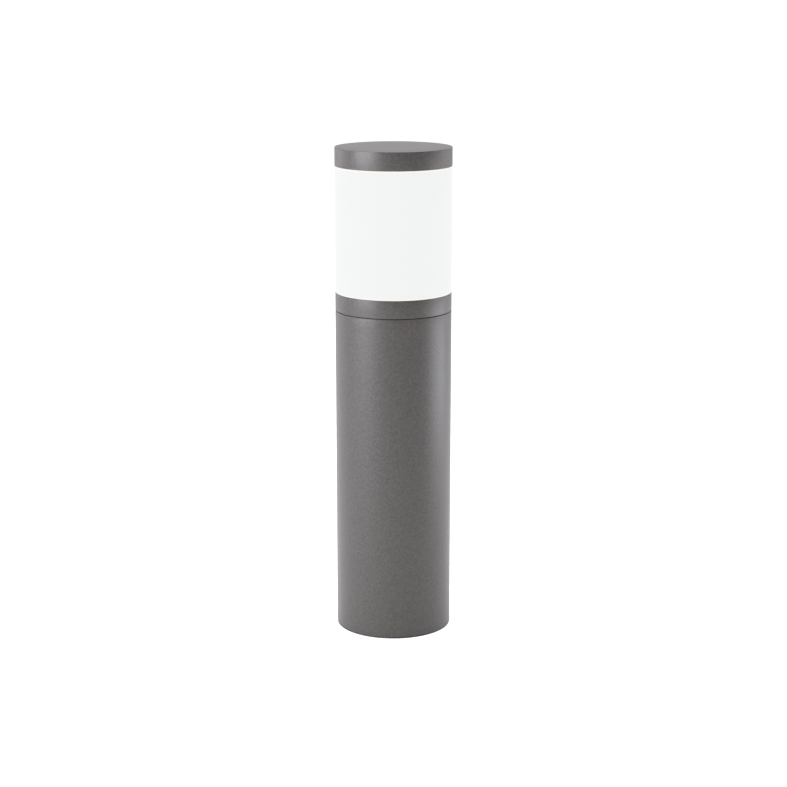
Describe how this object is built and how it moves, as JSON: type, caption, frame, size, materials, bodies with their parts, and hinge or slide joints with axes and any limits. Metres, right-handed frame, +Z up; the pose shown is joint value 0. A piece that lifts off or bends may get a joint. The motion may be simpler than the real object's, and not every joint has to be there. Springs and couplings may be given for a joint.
{
  "type": "bollard light",
  "caption": "Round pathway bollard light: a coated tube with a flush ring, opal lens and cap, whose lamp head lifts out with its gear tray.",
  "frame": {"origin": "centre of the foot, on the ground", "axes": "+Z up along the post, -Y the front, +X to the right"},
  "size_m": [0.19, 0.19, 0.8],
  "materials": {
    "coated": "satin graphite powder coat with fine metallic flake",
    "opal": "opal acrylic, satin",
    "rubber": "black silicone and EPDM",
    "cast": "as-cast and machined",
    "extruded": "extruded, natural",
    "steel": "stainless",
    "zinc": "zinc-plated sheet",
    "white_paint": "white reflector paint",
    "board": "white solder mask",
    "polyamide": "grey polyamide",
    "black_polyamide": "black polyamide",
    "orange": "moulded",
    "glass": "clear fuse glass with metal end caps",
    "sheath": "black cable sheath",
    "earth": "green and yellow insulation",
    "line": "brown insulation"
  },
  "bodies": {
    "post": {"post_tube": "coated", "base_gasket": "rubber", "base_flange": "cast", "flange_screw_1": "steel", "flange_screw_2": "steel", "flange_screw_3": "steel", "cable_grommet": "rubber", "earth_stud": "steel", "earth_nut": "steel", "post_collar": "cast", "collar_screw_1": "steel", "collar_screw_2": "steel", "collar_screw_3": "steel"},
    "lock_screw_left": {"lock_screw_left": "steel"},
    "lock_screw_right": {"lock_screw_right": "steel"},
    "head": {"head_base": "coated", "head_spigot": "extruded", "head_o_ring": "rubber", "lower_seal": "rubber", "upper_seal": "rubber", "diffuser": "opal", "top_cap": "coated", "lower_reflector": "white_paint", "upper_reflector": "white_paint", "led_column": "extruded", "column_screw_1": "steel", "column_screw_2": "steel", "column_screw_3": "steel", "led_board_1": "board", "led_board_2": "board", "led_board_3": "board", "led_board_4": "board", "led_board_5": "board", "led_board_6": "board", "tie_rod": "steel", "tie_washer": "steel", "tie_nut": "steel", "gland_body": "polyamide", "gland_cap": "polyamide", "gland_locknut": "polyamide", "gear_tray": "zinc", "tray_screw_1": "steel", "tray_screw_2": "steel", "tray_earth_screw": "steel", "driver_case": "extruded", "driver_cover_bottom": "black_polyamide", "driver_cover_top": "black_polyamide", "driver_screw_bottom": "steel", "driver_screw_top": "steel", "terminal_block": "polyamide", "fuse_base": "polyamide", "led_lead": "sheath", "supply_lead": "sheath", "fuse_lead": "line", "earth_lead": "earth"},
    "terminal_lever_1": {"terminal_lever_1": "orange"},
    "terminal_lever_2": {"terminal_lever_2": "orange"},
    "terminal_lever_3": {"terminal_lever_3": "orange"},
    "fuse_lever": {"fuse_lever": "black_polyamide", "fuse_cartridge": "glass"}
  },
  "joints": [
    {"name": "head_lift", "type": "slide", "parent": "post", "child": "head", "axis": [0, 0, 1], "range_m": [0, 0.32]},
    {"name": "lock_screw_left", "type": "slide", "parent": "post", "child": "lock_screw_left", "axis": [-1, 0, 0], "range_m": [0, 0.006]},
    {"name": "lock_screw_right", "type": "slide", "parent": "post", "child": "lock_screw_right", "axis": [1, 0, 0], "range_m": [0, 0.006]},
    {"name": "terminal_lever_1", "type": "hinge", "parent": "head", "child": "terminal_lever_1", "pos_m": [-0.027, 0.00375, 0.3037], "axis": [-1, 0, 0], "range_deg": [0, 80]},
    {"name": "terminal_lever_2", "type": "hinge", "parent": "head", "child": "terminal_lever_2", "pos_m": [-0.017, 0.00375, 0.3037], "axis": [-1, 0, 0], "range_deg": [0, 80]},
    {"name": "terminal_lever_3", "type": "hinge", "parent": "head", "child": "terminal_lever_3", "pos_m": [-0.007, 0.00375, 0.3037], "axis": [-1, 0, 0], "range_deg": [0, 80]},
    {"name": "fuse_lever", "type": "hinge", "parent": "head", "child": "fuse_lever", "pos_m": [0.013, 0.0052, 0.306], "axis": [-1, 0, 0], "range_deg": [0, 60]}
  ]
}
